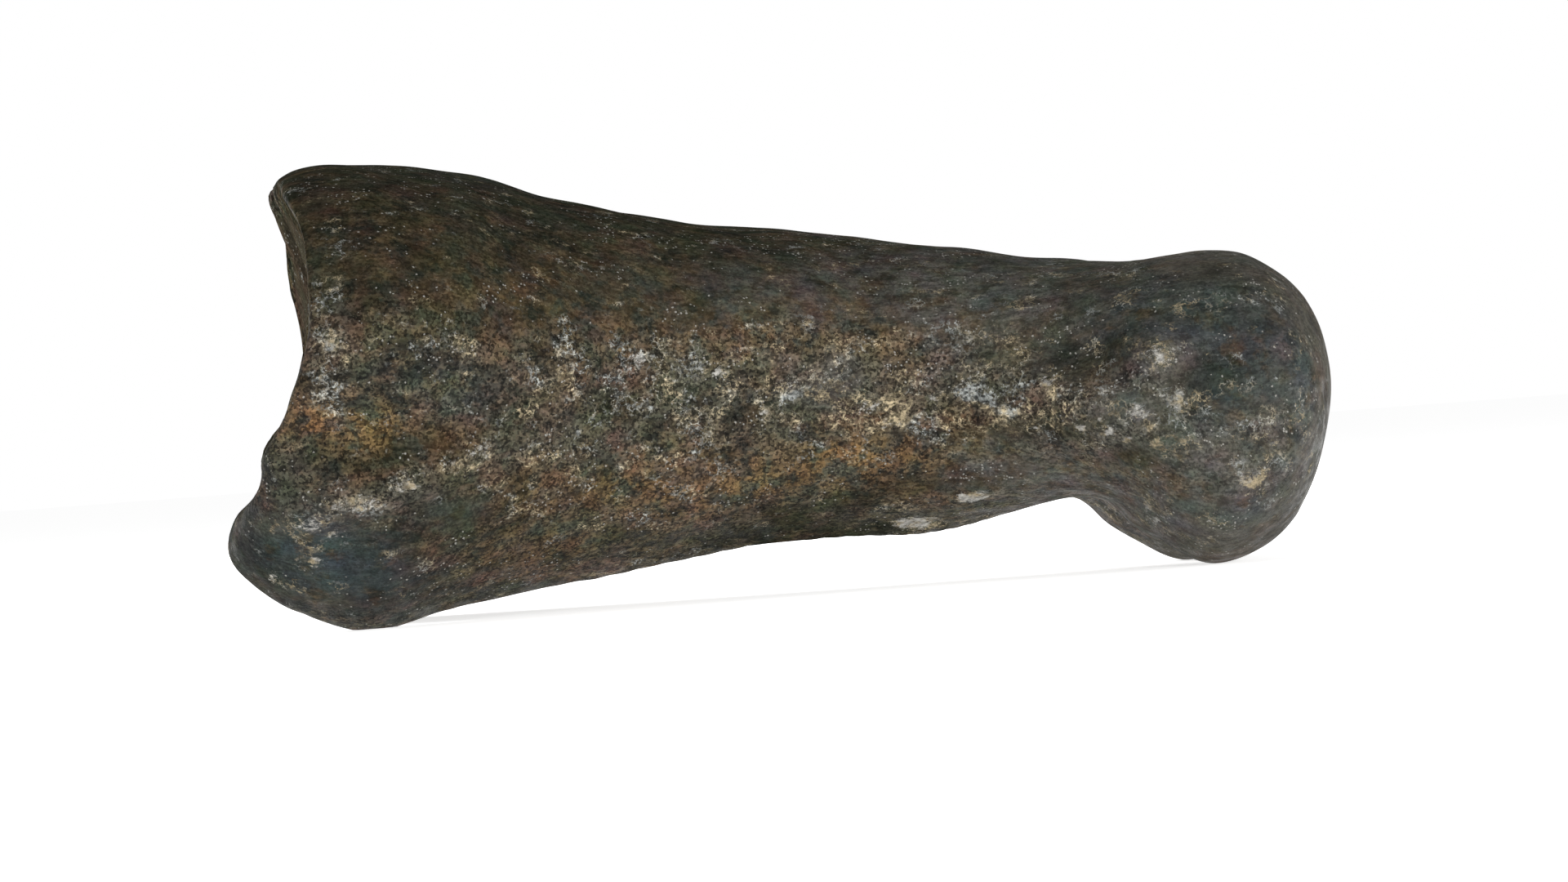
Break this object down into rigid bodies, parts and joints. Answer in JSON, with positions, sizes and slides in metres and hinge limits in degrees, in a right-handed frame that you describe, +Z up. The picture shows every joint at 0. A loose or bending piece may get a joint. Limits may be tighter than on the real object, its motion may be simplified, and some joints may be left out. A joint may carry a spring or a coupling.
{
  "type": "fossil horse toe bone",
  "caption": "Fossil horse toe bone: a dark, mineral-stained proximal phalanx with its joint face, palmar eminences, waist and grooved toe condyles, lying on its palmar side.",
  "frame": {"origin": "on the surface the bone rests on, under the middle of its box", "axes": "+X from the fetlock joint face towards the toe condyles, along the bone's length; +Y from the side the picture shows towards the hidden side; +Z up, from the palmar side to the dorsal side"},
  "size_m": [0.0798, 0.0524, 0.0333],
  "materials": {
    "fossil_bone": "matte to satin, dark brown with grey-white crust and rust stains"
  },
  "bodies": {
    "root": {"toe_bone": "fossil_bone"}
  },
  "joints": []
}
